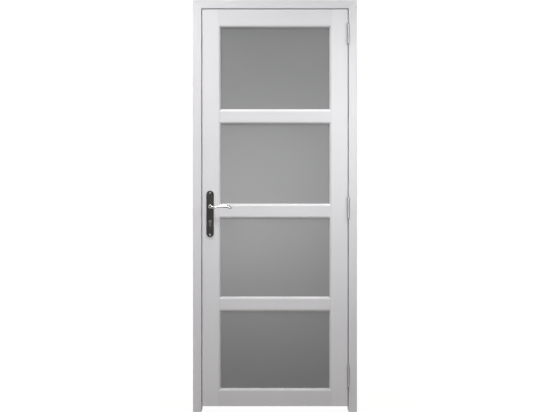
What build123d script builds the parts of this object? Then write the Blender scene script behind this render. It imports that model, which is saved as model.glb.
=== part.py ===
from build123d import *
from math import atan, degrees, sqrt
import os

# A glazed door leaf hung in its own painted timber frame, closed.
# X runs along the wall from the latch side to the hinge side, Y from the front to the back,
# Z up from the floor. The origin lies on the outer side of the hinge jamb, at floor level and
# halfway through the depth of the frame. All sizes are in millimetres.

# Leaf
LEAF_WIDTH = 747.0
LEAF_HEIGHT = 2040.0
LEAF_THICKNESS = 40.0
STILE_WIDTH = 93.0
TOP_RAIL_HEIGHT = 93.0
BOTTOM_RAIL_HEIGHT = 89.5
BAR_HEIGHT = 75.0
LOWER_BAR_CENTRE = 524.0  # this and the next are above the bottom of the leaf
MIDDLE_BAR_CENTRE = 1002.5
UPPER_BAR_DROP = 551.0  # from the top of the leaf to the middle of the bar
BAR_SETBACK = 2.0  # the bars' faces lie behind those of the stiles and rails
LATCH_BEVEL = 2.0  # the latch edge leans in by this much from front to back

# Mouldings and glazing
LIP_THICKNESS = 15.5  # timber in front of the glass
MOULDING_RADIUS = 13.0
REBATE_WIDTH = 14.0
GLASS_THICKNESS = 6.0
GLASS_CLEARANCE = 3.0
BEAD_ROUNDING = 8.0
MITRE_JOINT = 0.3

# Frame
FRAME_FACE = 43.0  # width of the jambs and of the head, seen from the front
FRAME_DEPTH = 90.0
EDGE_GAP = 5.0  # between the leaf and the frame, at the sides and the top
FLOOR_GAP = 30.0
STOP_WIDTH = 15.0
STOP_DEPTH = 35.0
STOP_CLEARANCE = 5.0
ARRIS = 2.0  # rounding of the outer edges of leaf and frame

# Hinges
BOTTOM_HINGE_CENTRE = 158.0  # this and the next are above the bottom of the leaf
MIDDLE_HINGE_CENTRE = 1020.0
TOP_HINGE_DROP = 125.0  # from the top of the leaf to the middle of the hinge
HINGE_HEIGHT = 100.0
HINGE_PLATE_THICKNESS = 2.5
HINGE_PLATE_DEPTH = 30.0
KNUCKLE_COUNT = 5
KNUCKLE_RADIUS = 7.0
KNUCKLE_PLAY = 0.3
PIN_RADIUS = 3.0
PIN_CLEARANCE = 0.08
PIN_CAP_HEIGHT = 5.0
# the cap's outline: shares of the knuckle's radius and of the cap's height
PIN_CAP_OUTLINE = ((1.0, 0.0), (1.0, 0.35), (0.85, 0.75), (0.5, 1.0))
HINGE_AXIS_PROUD = 8.0  # from the front of the leaf to the middle of the barrel

# Lock, strike and handle set
SPINDLE_HEIGHT = 1026.0  # above the bottom of the leaf
BACKSET = 40.0  # from the latch edge to the spindle and the cylinder
CYLINDER_DROP = 77.0  # from the spindle to the round of the cylinder
CASE_HEIGHT = 175.0
CASE_DEPTH = 70.0
CASE_THICKNESS = 15.0
FOREND_HEIGHT = 235.0
FOREND_WIDTH = 20.0
FOREND_THICKNESS = 3.0
LATCH_HEIGHT = 16.0
LATCH_THICKNESS = 11.0
LATCH_SLANT = 6.6  # run of the slanted side at the latch's end
DEAD_BOLT_HEIGHT = 32.0
DEAD_BOLT_THICKNESS = 9.0
BOLT_LENGTH = 26.0
BOLT_CLEARANCE = 0.3
STRIKE_HEIGHT = 180.0
STRIKE_WIDTH = 24.0
STRIKE_THICKNESS = 2.0
STRIKE_PLAY = 2.0  # room round each bolt in the strike
STRIKE_POCKET_DEPTH = 18.0
CYLINDER_ROUND = 17.0
CYLINDER_STEM = 10.0
CYLINDER_HEIGHT = 33.0
CYLINDER_PROUD = 2.5
KEYWAY_WIDTH = 2.2
KEYWAY_HEIGHT = 8.5
KEYWAY_DEPTH = 22.0
PLUG_STEP = 1.0
PLUG_RADIUS = 6.5
PLATE_HEIGHT = 238.0
PLATE_WIDTH = 38.0
PLATE_THICKNESS = 7.5
PLATE_EDGE = 3.0
PLATE_DROP = 37.0  # from the spindle to the middle of the plate
SCREW_SPACING = 215.0
SCREW_RADIUS = 2.5
SCREW_HEAD_RADIUS = 5.4
SCREW_HEAD_HEIGHT = 2.0
SCREW_CLEARANCE = 0.4
SPINDLE_SIDE = 8.0
SPINDLE_CLEARANCE = 0.4
SPINDLE_SOCKET = 25.0
LEVER_OUT = 50.0  # from the leaf's face to the middle of the arm
LEVER_LENGTH = 111.0
LEVER_COLLAR_RADIUS = 10.5
LEVER_COLLAR_HEIGHT = 4.0
LEVER_NECK_RADIUS = 8.0
LEVER_BEND = 17.0
LEVER_LEAN = 14.0  # degrees by which the bend points down before the arm rises again
LEVER_CLEARANCE = 0.3
# the arm's sections: distance from the spindle, height of the middle, height and thickness
LEVER_ARM = (
    (27.0, -3.4, 12.6, 12.0),
    (39.0, 0.0, 12.0, 11.0),
    (58.0, 3.4, 15.6, 10.0),
    (76.0, 4.0, 18.2, 9.5),
    (90.0, 2.6, 18.4, 9.0),
    (101.0, -1.8, 16.8, 8.5),
    (107.5, -5.2, 12.8, 7.5),
)
LEVER_TIP_DROP = 7.4
LEVER_TIP_SIZE = 6.0

# Places that follow from the sizes
FRONT = -FRAME_DEPTH / 2
LEAF_BACK = FRONT + LEAF_THICKNESS
LEAF_MIDDLE = FRONT + LEAF_THICKNESS / 2
LEAF_RIGHT = -FRAME_FACE - EDGE_GAP
LEAF_LEFT = LEAF_RIGHT - LEAF_WIDTH
LEAF_BOTTOM = FLOOR_GAP
LEAF_TOP = LEAF_BOTTOM + LEAF_HEIGHT
OPENING_LEFT = LEAF_LEFT - EDGE_GAP
OPENING_RIGHT = -FRAME_FACE
OPENING_TOP = LEAF_TOP + EDGE_GAP
FRAME_LEFT = OPENING_LEFT - FRAME_FACE
FRAME_TOP = OPENING_TOP + FRAME_FACE
SIGHT_LEFT = LEAF_LEFT + STILE_WIDTH
SIGHT_RIGHT = LEAF_RIGHT - STILE_WIDTH
GLASS_FRONT = FRONT + LIP_THICKNESS
GLASS_BACK = GLASS_FRONT + GLASS_THICKNESS
STOP_FRONT = LEAF_BACK + STOP_CLEARANCE
HINGE_X = LEAF_RIGHT + EDGE_GAP / 2
HINGE_Y = FRONT - HINGE_AXIS_PROUD
HANDLE_X = LEAF_LEFT + BACKSET
SPINDLE_Z = LEAF_BOTTOM + SPINDLE_HEIGHT
CYLINDER_Z = SPINDLE_Z - CYLINDER_DROP
PLATE_Z = SPINDLE_Z - PLATE_DROP

BARS = {
    "lower_bar": LEAF_BOTTOM + LOWER_BAR_CENTRE,
    "middle_bar": LEAF_BOTTOM + MIDDLE_BAR_CENTRE,
    "upper_bar": LEAF_TOP - UPPER_BAR_DROP,
}
HINGES = {
    "bottom": LEAF_BOTTOM + BOTTOM_HINGE_CENTRE,
    "middle": LEAF_BOTTOM + MIDDLE_HINGE_CENTRE,
    "top": LEAF_TOP - TOP_HINGE_DROP,
}


def block(x, y, z):
    """A plain block between the two values of each pair."""
    size = [high - low for low, high in (x, y, z)]
    centre = [(high + low) / 2 for low, high in (x, y, z)]
    return Pos(*centre) * Box(*size)


def extend(section, start, across, direction, length):
    """Extrude a section along direction, with its own X laid along across."""
    plane = Plane(origin=start, x_dir=across, z_dir=direction)
    return extrude(plane * section, amount=length)


def ease_faces(solid, radius):
    """Round the edges of the front and of the back face of a plain solid."""
    faces = solid.faces().sort_by(Axis.Y)
    return fillet(faces[0].edges() + faces[-1].edges(), radius)


# Leaf: stiles, rails and bars


def lip_section(thickness):
    """The moulded lip beside the glass: sight edge at X 0, face at Y 0, round at their corner."""
    lip = Pos(REBATE_WIDTH / 2, thickness / 2) * Rectangle(REBATE_WIDTH, thickness)
    corner = lip.vertices().group_by(Axis.X)[0].sort_by(Axis.Y)[0]
    return fillet(corner, MOULDING_RADIUS)


def edge_member_section(width):
    """Section of a stile or rail: a lip on the glass side, solid beyond the glass rebate."""
    core_width = width - REBATE_WIDTH
    core = Pos(REBATE_WIDTH + core_width / 2, LEAF_THICKNESS / 2) * Rectangle(core_width, LEAF_THICKNESS)
    return core + lip_section(LIP_THICKNESS)


def bar_section():
    """Section of a glazing bar: a lip on both sides, the face set back."""
    core_width = BAR_HEIGHT - 2 * REBATE_WIDTH
    depth = LEAF_THICKNESS - BAR_SETBACK
    core = Pos(BAR_HEIGHT / 2, depth / 2) * Rectangle(core_width, depth)
    lip = lip_section(LIP_THICKNESS - BAR_SETBACK)
    far_lip = Pos(BAR_HEIGHT, 0) * mirror(lip, about=Plane.YZ)
    return core + lip + far_lip


def leaf_envelope():
    """The whole leaf as one board, with its bevelled latch edge and eased arrises."""
    plan = make_face(
        Polyline(
            (LEAF_LEFT, FRONT),
            (LEAF_RIGHT, FRONT),
            (LEAF_RIGHT, LEAF_BACK),
            (LEAF_LEFT + LATCH_BEVEL, LEAF_BACK),
            close=True,
        )
    )
    return ease_faces(extrude(Pos(0, 0, LEAF_BOTTOM) * plan, amount=LEAF_HEIGHT), ARRIS)


def stile(sight, into, base_or_top, along):
    """A full-height stile, before its mortises are cut."""
    section = edge_member_section(STILE_WIDTH)
    return extend(section, (sight, FRONT, base_or_top), (into, 0, 0), (0, 0, along), LEAF_HEIGHT)


def rail(section, sight, into, depth):
    """A cross member between the stiles' cores, before its ends are coped."""
    start = SIGHT_LEFT - REBATE_WIDTH
    end = SIGHT_RIGHT + REBATE_WIDTH
    if into > 0:
        return extend(section, (end, depth, sight), (0, 0, 1), (-1, 0, 0), end - start)
    return extend(section, (start, depth, sight), (0, 0, -1), (1, 0, 0), end - start)


def leaf_timber():
    """Stiles, rails and bars, the cross members coped over the stiles' mouldings."""
    envelope = leaf_envelope()
    stiles = {
        "latch_stile": stile(SIGHT_LEFT, -1, LEAF_TOP, -1) & envelope,
        "hinge_stile": stile(SIGHT_RIGHT, 1, LEAF_BOTTOM, 1) & envelope,
    }
    top = rail(edge_member_section(TOP_RAIL_HEIGHT), LEAF_TOP - TOP_RAIL_HEIGHT, 1, FRONT)
    bottom = rail(edge_member_section(BOTTOM_RAIL_HEIGHT), LEAF_BOTTOM + BOTTOM_RAIL_HEIGHT, -1, FRONT)
    cross = {"top_rail": top & envelope, "bottom_rail": bottom & envelope}
    for name, centre in BARS.items():
        cross[name] = rail(bar_section(), centre - BAR_HEIGHT / 2, 1, FRONT + BAR_SETBACK)
    for name, member in cross.items():
        cross[name] = member - stiles["latch_stile"] - stiles["hinge_stile"]
    return stiles, cross


# Glazing


def pane_openings():
    """Bottom and top of the sight opening of each pane."""
    half = BAR_HEIGHT / 2
    return {
        "bottom": (LEAF_BOTTOM + BOTTOM_RAIL_HEIGHT, BARS["lower_bar"] - half),
        "lower": (BARS["lower_bar"] + half, BARS["middle_bar"] - half),
        "upper": (BARS["middle_bar"] + half, BARS["upper_bar"] - half),
        "top": (BARS["upper_bar"] + half, LEAF_TOP - TOP_RAIL_HEIGHT),
    }


def pane(low, high):
    """A sheet of glass held all round in the rebates."""
    hold = REBATE_WIDTH - GLASS_CLEARANCE
    return block(
        (SIGHT_LEFT - hold, SIGHT_RIGHT + hold), (GLASS_FRONT, GLASS_BACK), (low - hold, high + hold)
    )


def bead_section():
    """Section of a glazing bead: outer side at X 0, glass at Y 0, rounded at the far corner."""
    depth = LEAF_BACK - GLASS_BACK
    bead = Pos(REBATE_WIDTH / 2, depth / 2) * Rectangle(REBATE_WIDTH, depth)
    corner = bead.vertices().group_by(Axis.X)[-1].sort_by(Axis.Y)[-1]
    return fillet(corner, BEAD_ROUNDING)


def mitred_bead(length, at):
    """One bead lying along X from its outer corner, both ends mitred."""
    strip = extend(bead_section(), (0, 0, 0), (0, 0, 1), (-1, 0, 0), -length)
    gap = MITRE_JOINT / sqrt(2)
    outline = make_face(
        Polyline(
            (gap, 0),
            (length - gap, 0),
            (length - REBATE_WIDTH - gap, REBATE_WIDTH),
            (REBATE_WIDTH + gap, REBATE_WIDTH),
            close=True,
        )
    )
    depth = LEAF_BACK - GLASS_BACK
    mitre = extrude(Plane.XZ * outline, amount=-depth)
    return at * (strip & mitre)


def beads(low, high):
    """Four beads round one pane, behind the glass."""
    left, right = SIGHT_LEFT - REBATE_WIDTH, SIGHT_RIGHT + REBATE_WIDTH
    bottom, top = low - REBATE_WIDTH, high + REBATE_WIDTH
    width, height = right - left, top - bottom
    corners = (
        (left, bottom, 0, width),
        (right, bottom, -90, height),
        (right, top, 180, width),
        (left, top, 90, height),
    )
    strips = [
        mitred_bead(length, Pos(x, GLASS_BACK, z) * Rot(0, turn, 0)) for x, z, turn, length in corners
    ]
    return Compound(children=[strip.solid() for strip in strips])


# Frame


def frame_member(outer_length, start, across, along):
    """A member of the frame with eased long edges, its outer side at the section's X 0."""
    section = Pos(FRAME_FACE / 2, FRAME_DEPTH / 2) * RectangleRounded(FRAME_FACE, FRAME_DEPTH, ARRIS)
    return extend(section, start, across, along, outer_length)


def corner_cut(corner, turn, side):
    """A block on one side of the mitre plane that passes through an outer corner of the frame."""
    size = 6 * FRAME_FACE  # well past the corner on every side
    cutter = Box(size, size, size, align=(Align.CENTER, Align.CENTER, side))
    return Pos(corner, 0, FRAME_TOP) * Rot(0, turn, 0) * cutter


def frame_timber():
    """Two jambs and the head, mitred at the top corners."""
    left = frame_member(FRAME_TOP, (FRAME_LEFT, FRONT, 0), (1, 0, 0), (0, 0, 1))
    right = frame_member(FRAME_TOP, (0, FRONT, FRAME_TOP), (-1, 0, 0), (0, 0, -1))
    head = frame_member(-FRAME_LEFT, (FRAME_LEFT, FRONT, FRAME_TOP), (0, 0, -1), (1, 0, 0))
    return {
        "latch_jamb": left - corner_cut(FRAME_LEFT, 45, Align.MIN),
        "hinge_jamb": right - corner_cut(0, -45, Align.MIN),
        "head_jamb": head - corner_cut(FRAME_LEFT, 45, Align.MAX) - corner_cut(0, -45, Align.MAX),
    }


def stops():
    """Planted stops behind the leaf, the head stop between the two side stops."""
    depth = (STOP_FRONT, STOP_FRONT + STOP_DEPTH)
    solids = {
        "latch_stop": block((OPENING_LEFT, OPENING_LEFT + STOP_WIDTH), depth, (LEAF_BOTTOM, OPENING_TOP)),
        "hinge_stop": block((OPENING_RIGHT - STOP_WIDTH, OPENING_RIGHT), depth, (LEAF_BOTTOM, OPENING_TOP)),
        "head_stop": block(
            (OPENING_LEFT + STOP_WIDTH, OPENING_RIGHT - STOP_WIDTH),
            depth,
            (OPENING_TOP - STOP_WIDTH, OPENING_TOP),
        ),
    }
    free = {
        "latch_stop": solids["latch_stop"].edges().filter_by(Axis.Z).group_by(Axis.X)[-1],
        "hinge_stop": solids["hinge_stop"].edges().filter_by(Axis.Z).group_by(Axis.X)[0],
        "head_stop": solids["head_stop"].edges().filter_by(Axis.X).group_by(Axis.Z)[0],
    }
    return {name: fillet(free[name], ARRIS) for name in solids}


# Hinges


def hinge_plate_block(side, centre):
    """The flat of a hinge plate, let into the leaf (side -1) or into the jamb (side 1)."""
    face = LEAF_RIGHT if side < 0 else OPENING_RIGHT
    across = sorted((face, face + side * HINGE_PLATE_THICKNESS))
    half = HINGE_HEIGHT / 2
    return block(across, (FRONT, FRONT + HINGE_PLATE_DEPTH), (centre - half, centre + half))


def knuckle(side, low, high):
    """One knuckle and the neck that carries it, before the pin's hole is bored."""
    face = LEAF_RIGHT if side < 0 else OPENING_RIGHT
    across = sorted((face, face + side * HINGE_PLATE_THICKNESS))
    barrel = Pos(HINGE_X, HINGE_Y, low) * Cylinder(
        KNUCKLE_RADIUS, high - low, align=(Align.CENTER, Align.CENTER, Align.MIN)
    )
    return barrel + block(across, (HINGE_Y, FRONT), (low, high))


def hinge_plate(side, centre):
    """A plate with every second knuckle: the outer ones on the jamb, those between on the leaf."""
    pitch = HINGE_HEIGHT / KNUCKLE_COUNT
    first = 0 if side > 0 else 1
    plate = hinge_plate_block(side, centre)
    for index in range(first, KNUCKLE_COUNT, 2):
        low = centre - HINGE_HEIGHT / 2 + index * pitch
        at_bottom = index == 0
        at_top = index == KNUCKLE_COUNT - 1
        low_play = 0 if at_bottom else KNUCKLE_PLAY / 2
        high_play = 0 if at_top else KNUCKLE_PLAY / 2
        plate += knuckle(side, low + low_play, low + pitch - high_play)
    bore = Pos(HINGE_X, HINGE_Y, centre) * Cylinder(PIN_RADIUS + PIN_CLEARANCE, 2 * HINGE_HEIGHT)
    return plate - bore


def hinge_pin(centre):
    """The pin with a cap at each end, its edge taken off in two flats."""
    half = HINGE_HEIGHT / 2
    outline = make_face(
        Polyline(
            (0, 0),
            (PIN_RADIUS, 0),
            (PIN_RADIUS, half),
            *[(share * KNUCKLE_RADIUS, half + rise * PIN_CAP_HEIGHT) for share, rise in PIN_CAP_OUTLINE],
            (0, half + PIN_CAP_HEIGHT),
            close=True,
        )
    )
    half_pin = revolve(Plane.XZ * outline, axis=Axis.Z)
    return Pos(HINGE_X, HINGE_Y, centre) * (half_pin + mirror(half_pin, about=Plane.XY))


# Lock and strike


def edge_place(z):
    """Place on the bevelled latch edge, in the middle of its thickness, its X axis into the leaf."""
    lean = degrees(atan(LATCH_BEVEL / LEAF_THICKNESS))
    return Pos(LEAF_LEFT + LATCH_BEVEL / 2, LEAF_MIDDLE, z) * Rot(0, 0, -lean)


def bolt_holes(depth, height_extra, thickness_extra):
    """Blocks through the forend or strike where the latch and the dead bolt pass."""
    latch = Pos(0, 0, SPINDLE_Z) * Box(depth, LATCH_THICKNESS + thickness_extra, LATCH_HEIGHT + height_extra)
    dead = Pos(0, 0, CYLINDER_Z) * Box(
        depth, DEAD_BOLT_THICKNESS + thickness_extra, DEAD_BOLT_HEIGHT + height_extra
    )
    return latch + dead


def forend_blank():
    """The rounded plate let into the latch edge."""
    flat = SlotOverall(FOREND_HEIGHT, FOREND_WIDTH, rotation=90)
    plate = extrude(Plane.YZ * flat, amount=FOREND_THICKNESS)
    return edge_place(PLATE_Z) * plate


def case_blank():
    """The lock case behind the forend."""
    back = LEAF_LEFT + CASE_DEPTH
    return block(
        (LEAF_LEFT + LATCH_BEVEL, back),
        (LEAF_MIDDLE - CASE_THICKNESS / 2, LEAF_MIDDLE + CASE_THICKNESS / 2),
        (PLATE_Z - CASE_HEIGHT / 2, PLATE_Z + CASE_HEIGHT / 2),
    )


def bolt(height, thickness, z, slant):
    """A bolt drawn in, its end level with the latch edge, slanted at the end on a latch."""
    start = LEAF_LEFT + LATCH_BEVEL
    plan = make_face(
        Polyline(
            (start, -thickness / 2),
            (start + BOLT_LENGTH, -thickness / 2),
            (start + BOLT_LENGTH, thickness / 2),
            (start + slant, thickness / 2),
            close=True,
        )
    )
    return Pos(0, LEAF_MIDDLE, z - height / 2) * extrude(plan, amount=height)


def cylinder_outline():
    """Euro profile seen from the front: a round with a stem that ends in a smaller round."""
    round_top = Circle(CYLINDER_ROUND / 2)
    stem_low = CYLINDER_ROUND / 2 - CYLINDER_HEIGHT
    stem_round = Pos(0, stem_low + CYLINDER_STEM / 2) * Circle(CYLINDER_STEM / 2)
    stem_height = -stem_low - CYLINDER_STEM / 2
    stem = Pos(0, -stem_height / 2) * Rectangle(CYLINDER_STEM, stem_height)
    return round_top + stem_round + stem


def through_leaf(outline, z, front, back):
    """Extrude an outline drawn as seen from the front through the leaf at the handle."""
    plane = Plane(origin=(HANDLE_X, back, z), x_dir=(1, 0, 0), z_dir=(0, -1, 0))
    return extrude(plane * outline, amount=back - front)


def lock_cylinder():
    """The profile cylinder, with a plug at each end and a keyway in each plug."""
    reach = PLATE_THICKNESS + CYLINDER_PROUD
    front, back = FRONT - reach, LEAF_BACK + reach
    body = through_leaf(cylinder_outline(), CYLINDER_Z, front, back)
    body += through_leaf(Circle(PLUG_RADIUS), CYLINDER_Z, front - PLUG_STEP, back + PLUG_STEP)
    key = Pos(0, -KEYWAY_HEIGHT / 4) * Rectangle(KEYWAY_WIDTH, KEYWAY_HEIGHT)
    front_key = through_leaf(key, CYLINDER_Z, front - PLUG_STEP, front + KEYWAY_DEPTH)
    back_key = through_leaf(key, CYLINDER_Z, back - KEYWAY_DEPTH, back + PLUG_STEP)
    return body - front_key - back_key


def spindle_hole():
    """Outline of the round hole that the square spindle turns in."""
    return Circle(SPINDLE_SIDE / sqrt(2) + SPINDLE_CLEARANCE)


def screw_places():
    """Heights of the two screws that clamp the handle plates together."""
    return (PLATE_Z + SCREW_SPACING / 2, PLATE_Z - SCREW_SPACING / 2)


def lock_parts():
    """Case, forend, latch bolt and dead bolt."""
    forend = forend_blank()
    latch = bolt(LATCH_HEIGHT, LATCH_THICKNESS, SPINDLE_Z, LATCH_SLANT)
    dead = bolt(DEAD_BOLT_HEIGHT, DEAD_BOLT_THICKNESS, CYLINDER_Z, 0)
    holes = Pos(LEAF_LEFT, LEAF_MIDDLE) * bolt_holes(
        2 * (BOLT_LENGTH + LATCH_BEVEL + BOLT_CLEARANCE), 2 * BOLT_CLEARANCE, 2 * BOLT_CLEARANCE
    )
    case = case_blank() - forend - holes
    case -= through_leaf(spindle_hole(), SPINDLE_Z, FRONT, LEAF_BACK)
    case -= through_leaf(cylinder_outline(), CYLINDER_Z, FRONT, LEAF_BACK)
    return {
        "lock_case": case,
        "lock_forend": forend - holes,
        "latch_bolt": latch,
        "dead_bolt": dead,
    }


def strike_blank():
    """The plate let into the latch jamb opposite the forend."""
    half = STRIKE_HEIGHT / 2
    middle = (SPINDLE_Z + CYLINDER_Z) / 2
    return block(
        (OPENING_LEFT - STRIKE_THICKNESS, OPENING_LEFT),
        (LEAF_MIDDLE - STRIKE_WIDTH / 2, LEAF_MIDDLE + STRIKE_WIDTH / 2),
        (middle - half, middle + half),
    )


def strike_pockets():
    """The recesses that the latch and the dead bolt enter."""
    room = 2 * STRIKE_PLAY
    return Pos(OPENING_LEFT, LEAF_MIDDLE) * bolt_holes(2 * STRIKE_POCKET_DEPTH, room, room)


# Handle set


def handle_plate():
    """The long front plate with round ends and its holes."""
    face = FRONT - PLATE_THICKNESS
    blank = SlotOverall(PLATE_HEIGHT, PLATE_WIDTH, rotation=90)
    plate = through_leaf(blank, PLATE_Z, face, FRONT)
    plate = fillet(plate.faces().sort_by(Axis.Y)[0].edges(), PLATE_EDGE)
    plate -= through_leaf(Circle(LEVER_NECK_RADIUS + LEVER_CLEARANCE), SPINDLE_Z, face, FRONT)
    plate -= through_leaf(cylinder_outline(), CYLINDER_Z, face, FRONT)
    for z in screw_places():
        plate -= through_leaf(Circle(SCREW_RADIUS), z, face, FRONT)
    return plate


def to_back(solid):
    """The same piece on the other face of the leaf."""
    return mirror(solid, about=Plane(origin=(0, LEAF_MIDDLE, 0), z_dir=(0, 1, 0)))


def plate_screws():
    """Two long screws with domed heads on both plates."""
    reach = PLATE_THICKNESS + LEAF_THICKNESS / 2
    shank = Cylinder(SCREW_RADIUS, 2 * reach)
    dome_radius = (SCREW_HEAD_RADIUS**2 + SCREW_HEAD_HEIGHT**2) / (2 * SCREW_HEAD_HEIGHT)
    ball = Pos(0, 0, reach + SCREW_HEAD_HEIGHT - dome_radius) * Sphere(dome_radius)
    above = Box(
        2 * dome_radius, 2 * dome_radius, dome_radius, align=(Align.CENTER, Align.CENTER, Align.MIN)
    )
    head = ball & (Pos(0, 0, reach) * above)
    screw = Rot(90, 0, 0) * (shank + head + mirror(head, about=Plane.XY))
    return Compound(children=[(Pos(HANDLE_X, LEAF_MIDDLE, z) * screw).solid() for z in screw_places()])


def turned_boss(radius, start, length):
    """A round boss on the spindle's axis that runs outward from start."""
    return extrude(Plane(origin=(0, start, 0), z_dir=(0, -1, 0)) * Circle(radius), amount=length)


def lever_bend(start):
    """A quarter turn of the round neck, from outward to along the door and a little down."""
    section = Plane(origin=(0, start, 0), z_dir=(0, -1, 0)) * Circle(LEVER_NECK_RADIUS)
    bend = revolve(section, axis=Axis((LEVER_BEND, start, 0), (0, 0, 1)), revolution_arc=90)
    return Rot(0, LEVER_LEAN, 0) * bend


def lever_arm(out):
    """The S-shaped arm, lofted through oval sections that swell and turn down to a small tip."""
    origin, across, along = (
        Vector(*direction).rotate(Axis.Y, LEVER_LEAN)
        for direction in ((LEVER_BEND, out, 0), (0, 0, 1), (1, 0, 0))
    )
    start = Plane(origin=origin, x_dir=across, z_dir=along)
    sections = [start * Circle(LEVER_NECK_RADIUS)]
    tip = (LEVER_LENGTH, -LEVER_TIP_DROP, LEVER_TIP_SIZE, LEVER_TIP_SIZE / 2)
    for x, z, height, thickness in (*LEVER_ARM, tip):
        plane = Plane(origin=(x, out, z), x_dir=(0, 0, 1), z_dir=(1, 0, 0))
        sections.append(plane * Ellipse(height / 2, thickness / 2))
    return loft(sections)


def lever():
    """Lever of the front: round neck and collar, quarter bend, and shaped arm."""
    bend_start = LEVER_BEND - LEVER_OUT
    neck_start = -PLATE_THICKNESS / 2
    body = turned_boss(LEVER_NECK_RADIUS, neck_start, neck_start - bend_start)
    body += lever_bend(bend_start)
    body += lever_arm(-LEVER_OUT)
    collar = turned_boss(LEVER_COLLAR_RADIUS, -PLATE_THICKNESS - LEVER_CLEARANCE, LEVER_COLLAR_HEIGHT)
    body += fillet(collar.edges().sort_by(Axis.Y)[0], LEVER_COLLAR_HEIGHT / 2)
    socket = Pos(0, neck_start - SPINDLE_SOCKET / 2, 0) * Box(SPINDLE_SIDE, SPINDLE_SOCKET, SPINDLE_SIDE)
    return Pos(HANDLE_X, FRONT, SPINDLE_Z) * (body - socket)


def spindle():
    """The square bar through the lock that joins the two levers."""
    reach = PLATE_THICKNESS / 2 + SPINDLE_SOCKET
    square = Rectangle(SPINDLE_SIDE, SPINDLE_SIDE)
    return through_leaf(square, SPINDLE_Z, FRONT - reach, LEAF_BACK + reach)


# Assembly


def build():
    """Every piece of the door, by its node's name."""
    pieces = frame_timber()
    pieces.update(stops())
    stiles, cross = leaf_timber()
    for name, centre in HINGES.items():
        pieces[f"{name}_hinge_frame_plate"] = hinge_plate(1, centre)
        pieces[f"{name}_hinge_pin"] = hinge_pin(centre)
        pieces[f"{name}_hinge_door_plate"] = hinge_plate(-1, centre)
        pieces["hinge_jamb"] -= hinge_plate_block(1, centre)
        stiles["hinge_stile"] -= hinge_plate_block(-1, centre)
    pieces["strike_plate"] = strike_blank() - strike_pockets()
    pieces["latch_jamb"] = pieces["latch_jamb"] - strike_blank() - strike_pockets()
    stile_piece = stiles["latch_stile"] - case_blank() - forend_blank()
    stile_piece -= through_leaf(Circle(LEVER_COLLAR_RADIUS), SPINDLE_Z, FRONT, LEAF_BACK)
    stile_piece -= through_leaf(cylinder_outline(), CYLINDER_Z, FRONT, LEAF_BACK)
    for z in screw_places():
        stile_piece -= through_leaf(Circle(SCREW_RADIUS + SCREW_CLEARANCE), z, FRONT, LEAF_BACK)
    stiles["latch_stile"] = stile_piece
    pieces.update(stiles)
    pieces.update(cross)
    for name, (low, high) in pane_openings().items():
        pieces[f"{name}_pane"] = pane(low, high)
        pieces[f"{name}_beads"] = beads(low, high)
    pieces.update(lock_parts())
    pieces["lock_cylinder"] = lock_cylinder()
    pieces["front_plate"] = handle_plate()
    pieces["back_plate"] = to_back(pieces["front_plate"])
    pieces["plate_screws"] = plate_screws()
    pieces["front_lever"] = lever()
    pieces["back_lever"] = to_back(pieces["front_lever"])
    pieces["spindle"] = spindle()
    return pieces


os.makedirs("parts", exist_ok=True)
for node, shape in build().items():
    export_step(shape, f"parts/{node}.step")
    print(node, len(shape.solids()), round(shape.volume))
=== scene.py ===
import math

import bmesh
import bpy
from mathutils import Matrix, Vector


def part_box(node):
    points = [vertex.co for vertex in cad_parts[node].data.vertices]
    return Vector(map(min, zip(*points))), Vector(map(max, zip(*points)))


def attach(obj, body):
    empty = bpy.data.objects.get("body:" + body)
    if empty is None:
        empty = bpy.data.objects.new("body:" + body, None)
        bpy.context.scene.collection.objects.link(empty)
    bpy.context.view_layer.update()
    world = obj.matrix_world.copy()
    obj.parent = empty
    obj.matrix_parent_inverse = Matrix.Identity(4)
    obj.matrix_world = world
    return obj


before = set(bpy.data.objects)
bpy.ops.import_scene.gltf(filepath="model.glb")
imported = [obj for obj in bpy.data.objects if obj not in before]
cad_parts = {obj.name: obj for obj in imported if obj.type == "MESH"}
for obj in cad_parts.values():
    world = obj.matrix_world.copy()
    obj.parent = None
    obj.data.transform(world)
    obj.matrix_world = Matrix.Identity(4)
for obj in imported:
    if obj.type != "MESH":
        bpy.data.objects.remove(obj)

bl_info = {
    "name": "Glazed door finishes",
    "version": (1, 0, 0),
    "blender": (4, 5, 0),
    "location": "3D View > Sidebar > Door",
    "description": "Paint, satin glass, metal finishes and small fittings of a glazed door in its frame",
    "category": "Object",
}

# Nodes that share a finish
UPRIGHTS = ("latch_jamb", "hinge_jamb", "latch_stop", "hinge_stop", "latch_stile", "hinge_stile")
CROSS_MEMBERS = ("head_jamb", "head_stop", "top_rail", "bottom_rail", "upper_bar", "middle_bar", "lower_bar")
LOCK_STEEL = ("strike_plate", "lock_forend", "latch_bolt", "dead_bolt", "lock_case", "spindle")
PANES = ("top", "upper", "lower", "bottom")
HINGES = ("top", "middle", "bottom")

# Directions
FRONT = Vector((0, -1, 0))
BACK = Vector((0, 1, 0))
UP = Vector((0, 0, 1))
LATCH_WARD = Vector((-1, 0, 0))
HINGE_WARD = Vector((1, 0, 0))

# Sizes of the glazing beads in the model, in metres
BEAD_WIDTH = 0.014
BEAD_ROUNDING = 0.008

# Screws: sides of a round head, and where the hinge screws sit as shares of a plate's height and depth
HEAD_SIDES = 48
HINGE_SCREW_SHARES = ((0.12, 0.3), (0.38, 0.72), (0.62, 0.3), (0.88, 0.72))
# The forend's screws are sunk by this share of its thickness, so that they clear the strike plate
FOREND_SCREW_SUNK = 0.14

# Fillings over the bead pins: sides, and how far rim and crown stand out of the paint, in metres
PIN_SIDES = 16
PIN_RIM = 0.00003
PIN_CROWN = 0.0001

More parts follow.
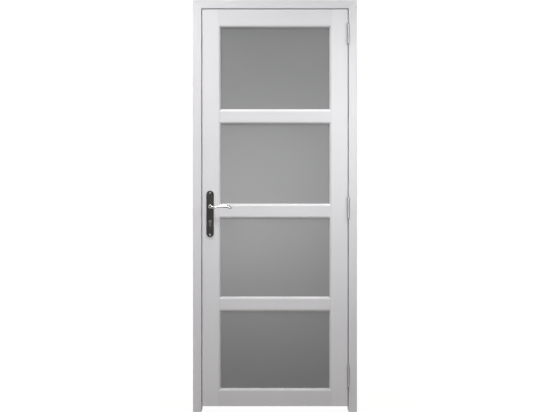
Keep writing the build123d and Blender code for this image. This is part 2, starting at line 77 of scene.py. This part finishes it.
# Stage: distances and lengths in metres, colours and shares
SENSOR_WIDTH_MM = 36.0
CAMERA_REACH = 100.0
FLOOR_HALF_SIDE = 14.0
FLOOR_DROP = 0.0004
FLOOR_TONES = ((0.34, 0.325, 0.3), (0.38, 0.365, 0.34))
SHADOW_CENTRE = (-0.42, 0, 0)
SHADOW_REACH = (0.6, 2.4)
# The floor's white glow, what is added to it near the door, and the share of it that shadows take there
FLOOR_GLOW = 1.02
GLOW_NEAR = 0.15
SHADOW_SHARE = 0.2
SKY_TINT = (0.93, 0.95, 1.0)

# Lamps: name, face of the frame that places are measured from, place, aim, size, power setting, spread in
# degrees. Places and aims are across from the middle of the door, out from that face, and up from the floor.
FACE, REAR = 0, 1
LAMPS = (
    ("ceiling_lamp", FACE, (-0.2, -1.6, 3.2), (0, 0, 0.9), (1.6, 0.4), "ceiling_power", 70),
    ("edge_lamp", FACE, (0, -0.35, 3.3), (0, -0.1, 0.0), (1.6, 0.15), "edge_power", 50),
    ("left_lamp", FACE, (-1.05, -0.75, 2.7), (-0.38, 0, 1.7), (0.3, 0.3), "left_power", 100),
    ("right_lamp", FACE, (1.05, -0.75, 2.3), (0.38, 0, 1.5), (0.3, 0.3), "right_power", 100),
    ("low_right_lamp", FACE, (1.1, -1.0, 1.7), (0.35, 0, 1.4), (0.3, 0.8), "right_power", 90),
    ("front_lamp", FACE, (-0.3, -5.0, 1.08), (0, 0, 1.05), (1.0, 0.8), "front_power", 60),
    ("back_left_lamp", REAR, (-2.4, 2.6, 2.3), (0, 0, 1.0), (1.2, 1.2), "back_power", 180),
    ("back_right_lamp", REAR, (2.4, 2.6, 2.3), (0, 0, 1.0), (1.2, 1.2), "back_power", 180),
)


def corners(node):
    """Lowest and highest corners of a node at rest."""
    return [Vector(corner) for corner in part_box(node)]


# Shader maths: a wrapped socket that grows Math nodes under Python's operators


class Value:
    """A socket of a finish. Sums, differences and products of values add Math nodes."""

    def __init__(self, finish, socket):
        self.finish = finish
        self.socket = socket

    def math(self, operation, first, second):
        """A Math node on two values or numbers."""
        return self.finish.add("ShaderNodeMath", {"operation": operation}, {0: first, 1: second})

    def __add__(self, other):
        return self.math("ADD", self, other)

    def __radd__(self, other):
        return self.math("ADD", other, self)

    def __sub__(self, other):
        return self.math("SUBTRACT", self, other)

    def __rsub__(self, other):
        return self.math("SUBTRACT", other, self)

    def __mul__(self, other):
        return self.math("MULTIPLY", self, other)

    def __rmul__(self, other):
        return self.math("MULTIPLY", other, self)


class Finish:
    """A material in the making. add puts a node in: settings first, then values and links."""

    def __init__(self, name):
        self.material = bpy.data.materials.new(name)
        self.material.use_nodes = True
        self.nodes = self.material.node_tree.nodes
        self.links = self.material.node_tree.links
        self.nodes.clear()

    def add(self, kind, settings=None, inputs=None, output=0):
        """A node of any kind, with its inputs by name or number, as its wrapped output."""
        node = self.nodes.new(kind)
        for name, value in (settings or {}).items():
            setattr(node, name, value)
        for key, value in (inputs or {}).items():
            if isinstance(value, Value):
                self.links.new(value.socket, node.inputs[key])
            else:
                node.inputs[key].default_value = value
        return Value(self, node.outputs[output])

    def noise(self, cell, detail=3.0, roughness=0.5):
        """Soft noise whose cells have about the given size along each axis of the piece, in metres."""
        position = self.add("ShaderNodeTexCoord", output="Object")
        scale = [1 / length for length in cell]
        place = self.add("ShaderNodeVectorMath", {"operation": "MULTIPLY"}, {0: position, 1: scale})
        inputs = {"Vector": place, "Scale": 1.0, "Detail": detail, "Roughness": roughness}
        return self.add("ShaderNodeTexNoise", inputs=inputs)

    def blend(self, factor, first, second):
        """A colour between two others."""
        settings = {"data_type": "RGBA", "clamp_factor": True}
        inputs = {0: factor, 6: (*first[:3], 1.0), 7: (*second[:3], 1.0)}
        return self.add("ShaderNodeMix", settings, inputs, 2)

    def spread(self, value, low, high):
        """A value stretched so that low to high fills 0 to 1."""
        return self.add("ShaderNodeMapRange", {"clamp": True}, {0: value, 1: low, 2: high})

    def relief(self, height, depth, strength=1.0):
        """A normal bumped by height, which is 0 to 1 over a depth in metres."""
        return self.add("ShaderNodeBump", inputs={"Strength": strength, "Distance": depth, "Height": height})

    def close(self, **sockets):
        """The finished material, from the surface shader's sockets, whose names have _ for a blank."""
        inputs = {name.replace("_", " "): value for name, value in sockets.items()}
        return self.put_out(self.add("ShaderNodeBsdfPrincipled", inputs=inputs))

    def put_out(self, surface):
        """The finished material, from a shader."""
        node = self.nodes.new("ShaderNodeOutputMaterial")
        self.links.new(surface.socket, node.inputs["Surface"])
        return self.material


def even(size):
    """A cell of the same size along each axis."""
    return (size, size, size)


def tinted(base, factor):
    """A colour made darker or lighter by a factor."""
    return [channel * factor for channel in base]


# Finishes. Cells and depths are in metres.


def painted_timber(name, look, grain, painted_shade_factor=1.0):
    """Satin paint on planed timber, with a trace of grain, roller texture and soft patches. A last factor
    below 1 darkens the whole paint, a painted shade.
    """
    finish = Finish(name)
    patches = finish.noise(even(0.32), detail=2.0)
    fibres = finish.noise(grain, detail=4.0, roughness=0.6)
    stipple = finish.noise(even(0.0022), detail=2.0)
    tone = finish.spread(patches * 0.7 + fibres * 0.3, 0.35, 0.65)
    return finish.close(
        # The last factor darkens a copy of the paint as a whole: painted shade, not a colour of its own
        Base_Color=finish.blend(tone, tinted(look.paint_shade, painted_shade_factor), tinted(look.paint, painted_shade_factor)),
        Roughness=patches * 0.08 + stipple * 0.06 + (look.paint_roughness - 0.07),
        Normal=finish.relief(fibres * 0.55 + stipple * 0.45, look.paint_relief),
    )


def satin_glass(name, look):
    """Etched glass that hides what is behind it, with a fine even grain."""
    finish = Finish(name)
    clouds = finish.noise(even(0.25), detail=2.0)
    etch = finish.noise(even(0.0011), detail=1.0)
    tone = finish.spread(clouds, 0.3, 0.7)
    return finish.close(
        Base_Color=finish.blend(tone, look.glass_shade, look.glass),
        Roughness=etch * 0.1 + clouds * 0.04 + (look.glass_roughness - 0.07),
        Normal=finish.relief(etch, 0.00003, 0.4),
        IOR=1.52,
        Specular_IOR_Level=1.0,
    )


def brushed_metal(name, base, roughness, grain):
    """Satin metal with fine drawn lines along its length and a few duller patches."""
    finish = Finish(name)
    lines = finish.noise(grain, detail=3.0, roughness=0.65)
    smudges = finish.noise(even(0.03), detail=3.0)
    dull = finish.spread(smudges, 0.4, 0.8)
    return finish.close(
        Base_Color=finish.blend(dull * 0.6 + lines * 0.3, base, tinted(base, 0.9)),
        Metallic=1.0,
        Roughness=lines * 0.16 + dull * 0.05 + (roughness - 0.08),
        Normal=finish.relief(lines, 0.00004, 0.35),
    )


def polished_metal(name, base, roughness):
    """Bright plated metal with faint handling marks."""
    finish = Finish(name)
    marks = finish.noise(even(0.011), detail=4.0)
    hairs = finish.noise((0.0006, 0.009, 0.0006), detail=2.0)
    haze = finish.spread(marks, 0.42, 0.7)
    return finish.close(
        Base_Color=finish.blend(haze, base, tinted(base, 0.9)),
        Metallic=1.0,
        Roughness=haze * 0.08 + hairs * 0.03 + roughness,
        Normal=finish.relief(hairs, 0.00001, 0.3),
    )


def dark_bronze(name, look):
    """Dark bronze lacquer, rubbed a little lighter in patches."""
    finish = Finish(name)
    patches = finish.noise((0.02, 0.02, 0.035), detail=4.0)
    grain = finish.noise(even(0.0007), detail=1.0)
    rubbed = finish.spread(patches, 0.48, 0.8)
    return finish.close(
        Base_Color=finish.blend(rubbed * 0.7, look.plate, look.plate_rubbed),
        Metallic=0.15,
        Specular_IOR_Level=0.14,
        Roughness=grain * 0.12 + (look.plate_roughness - 0.06) - rubbed * 0.05,
        Normal=finish.relief(grain, 0.00003, 0.5),
    )


def glazing_sealant(name, look):
    """Pale flexible sealant, slightly uneven."""
    finish = Finish(name)
    ripple = finish.noise(even(0.012), detail=2.0)
    return finish.close(
        Base_Color=finish.blend(ripple, look.sealant_shade, look.sealant),
        Roughness=ripple * 0.2 + 0.3,
        Normal=finish.relief(ripple, 0.0003, 0.5),
    )


def dress(nodes, material):
    """Give CAD nodes a finish."""
    for name in nodes:
        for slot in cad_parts[name].material_slots:
            slot.material = material


# Meshes


def new_piece(name, body, slot, material, build, *details):
    """A piece whose mesh build fills from the details, with its finish, riding on a body."""
    mesh = bpy.data.meshes.new(name)
    shape = bmesh.new()
    build(shape, *details)
    bmesh.ops.recalc_face_normals(shape, faces=shape.faces)
    shape.to_mesh(mesh)
    shape.free()
    mesh.materials.append(material)
    piece = bpy.data.objects.new(name, mesh)
    bpy.context.scene.collection.objects.link(piece)
    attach(piece, body)


def skin(shape, rings, place, closed=False):
    """Skin rings of points, given in the local frame of place. A closed skin joins last ring to first."""
    loops = [[shape.verts.new(place @ Vector(point)) for point in ring] for ring in rings]
    following_loops = loops[1:] + loops[:1] if closed else loops[1:]
    for low, high in zip(loops, following_loops):
        for index, vertex in enumerate(low):
            following = (index + 1) % len(low)
            shape.faces.new((vertex, low[following], high[following], high[index]))
    if not closed:
        shape.faces.new(loops[0])
        shape.faces.new(loops[-1])


def circle(radius, height, count):
    """Points of a ring round the local Z axis."""
    turns = [2 * math.pi * step / count for step in range(count)]
    return [(radius * math.cos(turn), radius * math.sin(turn), height) for turn in turns]


def cross(arm, width, height, count):
    """Points of a ring in the shape of a cross recess."""
    quarter, least = math.pi / 2, 0.01
    points = []
    for step in range(count):
        turn = 2 * math.pi * step / count
        off_arm = abs((turn + quarter / 2) % quarter - quarter / 2)
        radius = min(arm, width / max(math.sin(off_arm), least))
        points.append((radius * math.cos(turn), radius * math.sin(turn), height))
    return points


def facing(point, normal):
    """Place at a point whose Z axis is the normal."""
    turn = normal.to_track_quat("Z", "Y").to_matrix().to_4x4()
    return Matrix.Translation(point) @ turn


def countersunk_head(shape, point, normal, radius):
    """A flat screw head with a cross recess, its rim just proud of the face it is sunk in."""
    proud = radius * 0.04
    arm, width = radius * 0.56, radius * 0.15
    rings = (
        circle(radius * 0.55, -radius * 0.5, HEAD_SIDES),
        circle(radius, 0, HEAD_SIDES),
        circle(radius * 0.96, proud, HEAD_SIDES),
        cross(arm, width, proud, HEAD_SIDES),
        cross(arm * 0.55, width * 0.8, -radius * 0.35, HEAD_SIDES),
    )
    skin(shape, rings, facing(point, normal))


def sealant_fillet(shape, low, high, depth, width, outward):
    """A triangular fillet round a rectangle in the plane of the leaf, its corner at the edge."""
    rings = []
    for inset, rise in ((0, 0), (width, 0), (0, width)):
        y = depth + outward * rise
        left, right = low.x + inset, high.x - inset
        bottom, top = low.z + inset, high.z - inset
        rings.append(((left, y, bottom), (right, y, bottom), (right, y, top), (left, y, top)))
    skin(shape, rings, Matrix(), closed=True)


def hinge_screw_heads(shape, part, face, normal, radius):
    """Four heads in zigzag in each hinge's plate, at a face across the door."""
    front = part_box("hinge_stile")[0][1]
    for name in HINGES:
        low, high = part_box(f"{name}_hinge_{part}")
        for up, across in HINGE_SCREW_SHARES:
            point = Vector((face, front + (high[1] - front) * across, low[2] + (high[2] - low[2]) * up))
            countersunk_head(shape, point, normal, radius)


def lock_screw_heads(shape, node, normal, sunk_share, more_heights, radius):
    """A head near each end of a lock plate, and at more heights, sunk by a share of its thickness."""
    low, high = corners(node)
    face = low.x if normal.x < 0 else high.x
    sunk = (high.x - low.x) * sunk_share
    inset = (high.y - low.y) / 2
    for z in (low.z + inset, high.z - inset, *more_heights):
        point = Vector((face - normal.x * sunk, (low.y + high.y) / 2, z))
        countersunk_head(shape, point, normal, radius)


def plug_rims(shape, plug, rim, step):
    """A rounded rim round the foot of each plug of the lock cylinder."""
    low, high = corners("lock_cylinder")
    centre_x = (low.x + high.x) / 2
    centre_z = high.z - (high.x - low.x) / 2
    outer = plug + rim
    profile = (
        (plug - rim / 2, -rim),
        (plug, rim),
        (outer, rim * 0.7),
        (outer + rim / 3, 0),
        (outer, -rim),
    )
    rings = [circle(radius, height, HEAD_SIDES) for radius, height in profile]
    for face, normal in ((low.y + step, FRONT), (high.y - step, BACK)):
        skin(shape, rings, facing(Vector((centre_x, face, centre_z)), normal), closed=True)


def bead_pin_fillings(shape, radius, spacing):
    """Low round crowns in a row along the rounding of every glazing bead."""
    rings = (
        circle(radius, -radius / 2, PIN_SIDES),
        circle(radius, PIN_RIM, PIN_SIDES),
        circle(radius * 0.7, PIN_CROWN, PIN_SIDES),
    )
    shoulder = BEAD_ROUNDING * (1 - math.sqrt(0.5))
    inset = BEAD_WIDTH - shoulder
    for name in PANES:
        low, high = corners(f"{name}_beads")
        left, right, bottom, top = low.x + inset, high.x - inset, low.z + inset, high.z - inset
        runs = (
            ((left, low.z), (left, high.z), HINGE_WARD),
            ((right, low.z), (right, high.z), LATCH_WARD),
            ((low.x, bottom), (high.x, bottom), UP),
            ((low.x, top), (high.x, top), -UP),
        )
        for first, last, inward in runs:
            start, end = (Vector((x, high.y - shoulder, z)) for x, z in (first, last))
            count = math.ceil((end - start).length / spacing)
            for step in range(count):
                point = start.lerp(end, (step + 0.5) / count)
                skin(shape, rings, facing(point, (BACK + inward).normalized()))


# Sizes and colours that a user would change


def colour_value(name, description, default):
    """A colour, as three numbers from 0 to 1."""
    return bpy.props.FloatVectorProperty(
        name=name, description=description, default=default, size=3, subtype="COLOR", min=0.0, max=1.0
    )


def length_value(name, description, default):
    """A length in metres."""
    return bpy.props.FloatProperty(
        name=name, description=description, default=default, subtype="DISTANCE", unit="LENGTH", min=0.0
    )


def share_value(name, description, default):
    """A number from 0 to 1."""
    return bpy.props.FloatProperty(
        name=name, description=description, default=default, subtype="FACTOR", min=0.0, max=1.0
    )


def power_value(name, description, default):
    """A lamp's power in watts."""
    return bpy.props.FloatProperty(name=name, description=description, default=default, unit="POWER", min=0.0)


class DoorLook(bpy.types.PropertyGroup):
    """Colours and surface qualities of the door."""

    paint: colour_value("Paint", "Satin white paint", (0.81, 0.8, 0.82))
    paint_shade: colour_value("Paint, thin", "Paint where the coat is thinner", (0.775, 0.765, 0.785))
    # Painted shade: rails, bars and head get a darker copy of the same paint, for how the light falls on them
    cross_painted_shade: share_value("Paint, across", "Brightness of the paint on rails, bars and head", 0.945)
    paint_roughness: share_value("Paint roughness", "How dull the paint is", 0.5)
    paint_relief: length_value("Paint relief", "Depth of grain and roller marks", 0.00012)
    glass: colour_value("Glass", "Satin glass", (0.168, 0.169, 0.17))
    glass_shade: colour_value("Glass, denser", "Satin glass in its denser patches", (0.159, 0.16, 0.161))
    glass_roughness: share_value("Glass roughness", "How dull the glass is", 0.42)
    sealant: colour_value("Sealant", "Sealant round the glass", (0.62, 0.62, 0.6))
    sealant_shade: colour_value("Sealant, darker", "Sealant in its ripples", (0.5, 0.5, 0.49))
    plate: colour_value("Plate", "Dark bronze of the handle plates", (0.025, 0.023, 0.02))
    plate_rubbed: colour_value("Plate, rubbed", "Dark bronze where hands rub it", (0.045, 0.042, 0.037))
    plate_roughness: share_value("Plate roughness", "How dull the plates are", 0.42)
    lever: colour_value("Lever", "Polished nickel of the levers", (0.5, 0.49, 0.475))
    lever_roughness: share_value("Lever roughness", "How dull the levers are", 0.2)
    hinge: colour_value("Hinge", "Satin steel of the hinges", (0.45, 0.445, 0.45))
    hinge_roughness: share_value("Hinge roughness", "How dull the hinges are", 0.4)
    cylinder: colour_value("Cylinder", "Dark nickel of the lock cylinder", (0.018, 0.017, 0.016))


class DoorFittings(bpy.types.PropertyGroup):
    """Sizes of the small fittings that the finishes come with."""

    hinge_screw: length_value("Hinge screw", "Radius of the hinge screws' heads", 0.0040)
    lock_screw: length_value("Lock screw", "Radius of the heads in forend and strike", 0.0036)
    sealant: length_value("Sealant", "Width of the sealant round the glass", 0.0016)
    pin: length_value("Bead pin", "Radius of the filled pins in the beads", 0.0013)
    pin_spacing: length_value("Pin spacing", "Greatest distance between bead pins", 0.16)
    cylinder_screw_drop: length_value("Cylinder screw", "From the dead bolt down to that screw", 0.012)
    plug: length_value("Plug", "Radius of the cylinder's plugs", 0.0065)
    plug_step: length_value("Plug step", "How far the plugs stand out of the cylinder", 0.001)
    rim: length_value("Plug rim", "Width of the bright rim round each plug", 0.0006)


class DoorStage(bpy.types.PropertyGroup):
    """Camera, lamps and surroundings."""

    distance: length_value("Distance", "From the camera to the face of the door", 5.0)
    width_seen: length_value("Width seen", "Width of the picture at the face of the door", 2.827)
    eye_height: length_value("Eye height", "Height of the camera above the floor", 1.0593)
    ceiling_power: power_value("Ceiling", "Power of the lamp overhead", 4.2)
    edge_power: power_value("Edges", "Power of the lamp close above the door, for its moulded edges", 1.6)
    left_power: power_value("Left", "Power of the lamp on the latch side", 3.0)
    right_power: power_value("Right", "Power of each of the two lamps on the hinge side", 1.1)
    front_power: power_value("Front", "Power of the lamp beside the camera", 8.4)
    back_power: power_value("Back", "Power of each lamp behind the door", 85.0)
    sky: share_value("Surroundings", "Strength of the even light", 0.05)
    reflected: share_value("Reflected", "Brightness of the room that polished metal reflects", 0.35)


# Operators, one for each piece or group of like pieces, and one for the stage


class DOOR_OT_paint_timber(bpy.types.Operator):
    """Paint the frame, stops, stiles, rails, bars and glazing beads"""

    bl_idname = "door.paint_timber"
    bl_label = "Paint timber"

    def execute(self, context):
        look = context.scene.door_look
        along_z, along_x = (0.004, 0.004, 0.18), (0.18, 0.004, 0.004)
        dress(UPRIGHTS, painted_timber("satin_paint_upright", look, along_z))
        # The cross members get a darker copy of the same paint: painted shade
        dress(CROSS_MEMBERS, painted_timber("satin_paint_cross", look, along_x, look.cross_painted_shade))
        beads = [f"{name}_beads" for name in PANES]
        dress(beads, painted_timber("satin_paint_bead", look, even(0.006)))
        return {"FINISHED"}


class DOOR_OT_glaze(bpy.types.Operator):
    """Finish the panes and run sealant round both sides of each"""

    bl_idname = "door.glaze"
    bl_label = "Glaze"

    def execute(self, context):
        look, width = context.scene.door_look, context.scene.door_fittings.sealant
        dress([f"{name}_pane" for name in PANES], satin_glass("satin_glass", look))
        sealant = glazing_sealant("glazing_sealant", look)
        left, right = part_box("latch_stile")[1][0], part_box("hinge_stile")[0][0]
        for name in PANES:
            pane_low, pane_high = corners(f"{name}_pane")
            inset = left - pane_low.x
            low = Vector((left, 0, pane_low.z + inset))
            high = Vector((right, 0, pane_high.z - inset))
            for side, depth, outward in (("front", pane_low.y, -1), ("back", pane_high.y, 1)):
                details = (low, high, depth, width, outward)
                piece = f"{name}_{side}_sealant"
                new_piece(piece, "leaf", "painted_timber", sealant, sealant_fillet, *details)
        return {"FINISHED"}


class DOOR_OT_hinges(bpy.types.Operator):
    """Finish the hinges and drive their screws"""

    bl_idname = "door.hinges"
    bl_label = "Hinges"

    def execute(self, context):
        look, fittings = context.scene.door_look, context.scene.door_fittings
        steel = brushed_metal("hinge_steel", look.hinge, look.hinge_roughness, (0.0005, 0.0005, 0.02))
        parts = ("frame_plate", "door_plate", "pin")
        dress([f"{name}_hinge_{part}" for name in HINGES for part in parts], steel)
        screw_steel = polished_metal("hinge_screw_steel", look.hinge, roughness=0.22)
        jamb_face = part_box("hinge_jamb")[0][0]
        leaf_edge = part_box("hinge_stile")[1][0]
        sides = (
            ("frame", "frame_plate", jamb_face, LATCH_WARD),
            ("leaf", "door_plate", leaf_edge, HINGE_WARD),
        )
        for body, *place in sides:
            details = (*place, fittings.hinge_screw)
            new_piece(f"{body}_hinge_screws", body, "hinge_steel", screw_steel, hinge_screw_heads, *details)
        return {"FINISHED"}


class DOOR_OT_lock(bpy.types.Operator):
    """Finish lock, bolts, cylinder and strike, rim the cylinder's plugs and drive the screws"""

    bl_idname = "door.lock"
    bl_label = "Lock"

    def execute(self, context):
        look, fittings = context.scene.door_look, context.scene.door_fittings
        paler = tinted(look.hinge, 1.1)
        steel = brushed_metal("lock_plate_steel", paler, look.hinge_roughness - 0.04, (0.0005, 0.0005, 0.02))
        dress(LOCK_STEEL, steel)
        grain = (0.004, 0.004, 0.0006)
        dress(["lock_cylinder"], brushed_metal("cylinder_nickel", look.cylinder, roughness=0.26, grain=grain))
        nickel = polished_metal("rim_nickel", look.lever, roughness=0.12)
        details = (fittings.plug, fittings.rim, fittings.plug_step)
        new_piece("cylinder_plug_rims", "leaf", "dark_nickel", nickel, plug_rims, *details)
        nickel = polished_metal("lock_screw_nickel", look.lever, roughness=0.2)
        cylinder_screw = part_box("dead_bolt")[0][2] - fittings.cylinder_screw_drop
        plates = (
            ("leaf", "lock_forend", LATCH_WARD, FOREND_SCREW_SUNK, (cylinder_screw,)),
            ("frame", "strike_plate", HINGE_WARD, 0.0, ()),
        )
        for body, node, *place in plates:
            details = (node, *place, fittings.lock_screw)
            new_piece(f"{node}_screws", body, "satin_steel", nickel, lock_screw_heads, *details)
        return {"FINISHED"}


class DOOR_OT_handle_set(bpy.types.Operator):
    """Finish the handle plates, their domed screws and the levers"""

    bl_idname = "door.handle_set"
    bl_label = "Handle set"

    def execute(self, context):
        look = context.scene.door_look
        dress(["front_plate", "back_plate"], dark_bronze("dark_bronze", look))
        dress(["front_lever", "back_lever"], polished_metal("lever_nickel", look.lever, look.lever_roughness))
        dress(["plate_screws"], polished_metal("screw_nickel", look.lever, look.lever_roughness + 0.05))
        return {"FINISHED"}


class DOOR_OT_bead_pins(bpy.types.Operator):
    """Fill over the pins that hold the glazing beads"""

    bl_idname = "door.bead_pins"
    bl_label = "Bead pins"

    def execute(self, context):
        look, fittings = context.scene.door_look, context.scene.door_fittings
        paint = painted_timber("satin_paint_pin", look, even(0.002))
        details = (fittings.pin, fittings.pin_spacing)
        new_piece("bead_pin_fillings", "leaf", "painted_timber", paint, bead_pin_fillings, *details)
        return {"FINISHED"}


class DOOR_OT_stage(bpy.types.Operator):
    """Set the floor, lamps, surroundings and camera"""

    bl_idname = "door.stage"
    bl_label = "Stage"

    def execute(self, context):
        scene, settings = context.scene, context.scene.door_stage
        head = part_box("head_jamb")
        middle_x = (head[0][0] + head[1][0]) / 2
        self.camera(scene, settings, middle_x, head[FACE][1])
        self.floor(scene, settings)
        self.surroundings(scene, settings)
        for name, face, away, aim_away, size, setting, spread in LAMPS:
            foot = (middle_x, head[face][1], 0)
            place, aim = (Vector(map(sum, zip(foot, offset))) for offset in (away, aim_away))
            self.lamp(scene, name, place, aim, size, getattr(settings, setting), spread)
        return {"FINISHED"}

    def camera(self, scene, settings, middle_x, face):
        """A level camera straight in front of the door."""
        camera = bpy.data.cameras.new("door_camera")
        camera.sensor_width = SENSOR_WIDTH_MM
        camera.lens = SENSOR_WIDTH_MM * settings.distance / settings.width_seen
        camera.clip_end = CAMERA_REACH
        holder = bpy.data.objects.new("door_camera", camera)
        holder.location = (middle_x, face - settings.distance, settings.eye_height)
        holder.rotation_euler = (math.radians(90), 0, 0)
        scene.collection.objects.link(holder)
        scene.camera = holder

    def floor(self, scene, settings):
        """White where the camera looks past the door, with room for its shadow close by."""
        finish = Finish("pale_floor")
        tone = finish.blend(finish.noise(even(1.5), detail=2.0), *FLOOR_TONES)
        matt = finish.add("ShaderNodeBsdfDiffuse", inputs={"Color": tone})
        position = finish.add("ShaderNodeTexCoord", output="Object")
        inputs = {0: position, 1: SHADOW_CENTRE}
        apart = finish.add("ShaderNodeVectorMath", {"operation": "DISTANCE"}, inputs, "Value")
        near = 1 - finish.spread(apart, *SHADOW_REACH)
        inputs = {"Color": (1, 1, 1, 1), "Strength": near * GLOW_NEAR + FLOOR_GLOW}
        glow = finish.add("ShaderNodeEmission", inputs=inputs)
        share = self.seen_as_white(finish, settings.reflected) * (1 - near * SHADOW_SHARE)
        mixed = finish.add("ShaderNodeMixShader", inputs={0: share, 1: matt, 2: glow})
        mesh = bpy.data.meshes.new("studio_floor")
        shape = bmesh.new()
        bmesh.ops.create_grid(shape, x_segments=4, y_segments=4, size=FLOOR_HALF_SIDE)
        shape.to_mesh(mesh)
        shape.free()
        mesh.materials.append(finish.put_out(mixed))
        plane = bpy.data.objects.new("studio_floor", mesh)
        plane.location = (0, 0, -FLOOR_DROP)
        scene.collection.objects.link(plane)

    def seen_as_white(self, finish, reflected):
        """1 for rays straight from the camera or through glass, less for those off polished metal."""
        camera = finish.add("ShaderNodeLightPath", output="Is Camera Ray")
        through = finish.add("ShaderNodeLightPath", output="Is Transmission Ray")
        mirrored = finish.add("ShaderNodeLightPath", output="Is Glossy Ray") * reflected
        direct = finish.add("ShaderNodeMath", {"operation": "MAXIMUM"}, {0: camera, 1: through})
        return finish.add("ShaderNodeMath", {"operation": "MAXIMUM"}, {0: direct, 1: mirrored})

    def surroundings(self, scene, settings):
        """A dim sky that lights the door, seen as plain white and reflected at a set brightness."""
        world = bpy.data.worlds.new("studio")
        world.use_nodes = True
        nodes, links = world.node_tree.nodes, world.node_tree.links
        nodes.clear()
        path = nodes.new("ShaderNodeLightPath")
        out = nodes.new("ShaderNodeOutputWorld")
        shader = self.background(nodes, SKY_TINT, settings.sky)
        strengths = {"Is Glossy Ray": settings.reflected, "Is Transmission Ray": 1.0, "Is Camera Ray": 1.0}
        for rays, strength in strengths.items():
            mix = nodes.new("ShaderNodeMixShader")
            links.new(path.outputs[rays], mix.inputs[0])
            links.new(shader.outputs[0], mix.inputs[1])
            links.new(self.background(nodes, (1, 1, 1), strength).outputs[0], mix.inputs[2])
            shader = mix
        links.new(shader.outputs[0], out.inputs["Surface"])
        scene.world = world
        scene.view_settings.view_transform = "Standard"

    def background(self, nodes, tint, strength):
        """A background shader of one colour."""
        node = nodes.new("ShaderNodeBackground")
        node.inputs["Color"].default_value = (*tint, 1.0)
        node.inputs["Strength"].default_value = strength
        return node

    def lamp(self, scene, name, place, aim, size, power, spread):
        """A rectangular lamp at a place, turned to its aim."""
        data = bpy.data.lights.new(name, "AREA")
        data.shape = "RECTANGLE"
        data.spread = math.radians(spread)
        data.size, data.size_y = size
        data.energy = power
        holder = bpy.data.objects.new(name, data)
        holder.location = place
        holder.rotation_euler = (aim - place).to_track_quat("-Z", "Y").to_euler()
        scene.collection.objects.link(holder)


class DOOR_PT_panel(bpy.types.Panel):
    """Finishes and fittings of the door"""

    bl_idname = "DOOR_PT_panel"
    bl_label = "Glazed door"
    bl_space_type = "VIEW_3D"
    bl_region_type = "UI"
    bl_category = "Door"

    def draw(self, context):
        for group in (context.scene.door_look, context.scene.door_fittings, context.scene.door_stage):
            box = self.layout.box()
            for name in group.__annotations__:
                box.prop(group, name)
        for operator in OPERATORS:
            self.layout.operator(operator.bl_idname)


GROUPS = (DoorLook, DoorFittings, DoorStage)
OPERATORS = (
    DOOR_OT_paint_timber,
    DOOR_OT_glaze,
    DOOR_OT_hinges,
    DOOR_OT_lock,
    DOOR_OT_handle_set,
    DOOR_OT_bead_pins,
    DOOR_OT_stage,
)


def register():
    for cls in (*GROUPS, *OPERATORS, DOOR_PT_panel):
        bpy.utils.register_class(cls)
    bpy.types.Scene.door_look = bpy.props.PointerProperty(type=DoorLook)
    bpy.types.Scene.door_fittings = bpy.props.PointerProperty(type=DoorFittings)
    bpy.types.Scene.door_stage = bpy.props.PointerProperty(type=DoorStage)


def unregister():
    del bpy.types.Scene.door_stage
    del bpy.types.Scene.door_fittings
    del bpy.types.Scene.door_look
    for cls in reversed((*GROUPS, *OPERATORS, DOOR_PT_panel)):
        bpy.utils.unregister_class(cls)


def main():
    """Dress the loaded door and set its stage."""
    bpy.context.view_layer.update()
    register()
    bpy.ops.door.paint_timber()
    bpy.ops.door.glaze()
    bpy.ops.door.hinges()
    bpy.ops.door.lock()
    bpy.ops.door.handle_set()
    bpy.ops.door.bead_pins()
    bpy.ops.door.stage()


if __name__ == "__main__":
    main()
